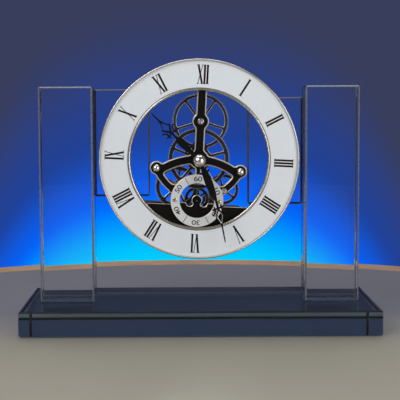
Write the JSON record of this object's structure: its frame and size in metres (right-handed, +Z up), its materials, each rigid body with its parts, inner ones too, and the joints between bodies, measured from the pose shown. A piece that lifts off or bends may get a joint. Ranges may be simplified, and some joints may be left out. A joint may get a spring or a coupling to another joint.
{
  "type": "crystal table clock",
  "caption": "Table clock: a round skeleton dial with an open gear train, held by glass wings between clear upright slabs on a tinted glass base.",
  "frame": {"origin": "on the table, under the middle of the base", "axes": "+X to the right seen from the front, the front faces -Y, +Z up"},
  "size_m": [0.261, 0.072, 0.2003],
  "materials": {
    "tinted_glass": "polished, smoky blue",
    "clear_glass": "polished, clear",
    "clear_rubber": "translucent",
    "dial_white": "matt white",
    "champagne": "polished, pale champagne",
    "black_lacquer": "satin black with bright edges",
    "black_plastic": "fine grain",
    "brushed_silver": "brushed in circles",
    "chrome": "mirror polish",
    "brass": "polished",
    "steel": "turned",
    "dark_wheel": "blackened with bright edges",
    "copper": "wound enamelled wire",
    "board_green": "solder mask",
    "cell_jacket": "printed jacket, plain"
  },
  "bodies": {
    "frame": {"base_block": "tinted_glass", "foot_front_left": "clear_rubber", "foot_front_right": "clear_rubber", "foot_back_left": "clear_rubber", "foot_back_right": "clear_rubber", "left_slab": "clear_glass", "right_slab": "clear_glass", "left_wing": "clear_glass", "right_wing": "clear_glass", "dial_carrier": "black_plastic", "chapter_ring": "dial_white", "outer_bezel": "champagne", "inner_bezel": "champagne", "front_bridge": "black_lacquer", "bottom_plate": "black_lacquer", "rear_bridge": "black_lacquer", "left_pillar": "steel", "right_pillar": "steel", "left_pillar_screw": "steel", "right_pillar_screw": "steel", "left_ball_nut": "chrome", "right_ball_nut": "chrome", "top_bush": "steel", "right_bush": "steel", "seconds_ring": "brushed_silver", "left_ring_screw": "brass", "right_ring_screw": "brass", "motor_case": "black_plastic", "motor_cover": "black_plastic", "stator": "steel", "coil": "copper", "circuit_board": "board_green", "quartz_can": "steel", "battery_tray": "black_plastic", "battery_cell": "cell_jacket", "spring_contact": "steel", "plate_contact": "steel"},
    "minute": {"minute_hand": "black_lacquer", "hand_cap": "chrome", "cannon_pinion": "steel", "centre_arbor": "steel", "centre_wheel": "dark_wheel", "setting_knob": "black_plastic"},
    "hour": {"hour_hand": "black_lacquer", "hour_wheel": "brass"},
    "motion": {"motion_wheel": "brass"},
    "third": {"third_wheel": "dark_wheel", "third_arbor": "steel"},
    "seconds": {"seconds_wheel": "dark_wheel", "seconds_arbor": "steel", "seconds_hand": "black_lacquer"},
    "top": {"top_wheel": "dark_wheel", "top_arbor": "steel"},
    "right": {"right_wheel": "dark_wheel", "right_arbor": "steel"},
    "intermediate": {"intermediate_wheel": "brass"},
    "motor_rotor": {"rotor": "steel"},
    "cover": {"battery_cover": "black_plastic"}
  },
  "joints": [
    {"name": "minute_spin", "type": "hinge", "parent": "frame", "child": "minute", "pos_m": [0, 0, 0.1254], "axis": [0, 1, 0], "continuous": true},
    {"name": "hour_spin", "type": "hinge", "parent": "frame", "child": "hour", "pos_m": [0, 0, 0.1254], "axis": [0, 1, 0], "continuous": true},
    {"name": "motion_spin", "type": "hinge", "parent": "frame", "child": "motion", "pos_m": [0.00042, 0, 0.13339], "axis": [0, 1, 0], "continuous": true},
    {"name": "third_spin", "type": "hinge", "parent": "frame", "child": "third", "pos_m": [-0.01674, 0, 0.10384], "axis": [0, 1, 0], "continuous": true},
    {"name": "seconds_spin", "type": "hinge", "parent": "frame", "child": "seconds", "pos_m": [-0.00163, 0, 0.09424], "axis": [0, 1, 0], "continuous": true},
    {"name": "top_spin", "type": "hinge", "parent": "frame", "child": "top", "pos_m": [0.00148, 0, 0.15362], "axis": [0, 1, 0], "continuous": true},
    {"name": "right_spin", "type": "hinge", "parent": "frame", "child": "right", "pos_m": [0.01877, 0, 0.10134], "axis": [0, 1, 0], "continuous": true},
    {"name": "intermediate_spin", "type": "hinge", "parent": "frame", "child": "intermediate", "pos_m": [0.00868, 0, 0.08987], "axis": [0, 1, 0], "continuous": true},
    {"name": "rotor_spin", "type": "hinge", "parent": "frame", "child": "motor_rotor", "pos_m": [0.01072, 0, 0.08586], "axis": [0, 1, 0], "continuous": true},
    {"name": "cover_slide", "type": "slide", "parent": "frame", "child": "cover", "axis": [-0.9986, 0, 0.0523], "range_m": [0, 0.045]}
  ],
  "couplings": [
    {"joint": "hour_spin", "follows": "minute_spin", "ratio": 0.083333},
    {"joint": "motion_spin", "follows": "minute_spin", "ratio": -0.33333},
    {"joint": "third_spin", "follows": "minute_spin", "ratio": -5.4545},
    {"joint": "seconds_spin", "follows": "minute_spin", "ratio": 60},
    {"joint": "top_spin", "follows": "minute_spin", "ratio": -4.4444},
    {"joint": "right_spin", "follows": "minute_spin", "ratio": -48},
    {"joint": "intermediate_spin", "follows": "minute_spin", "ratio": -360},
    {"joint": "rotor_spin", "follows": "minute_spin", "ratio": 1800}
  ]
}
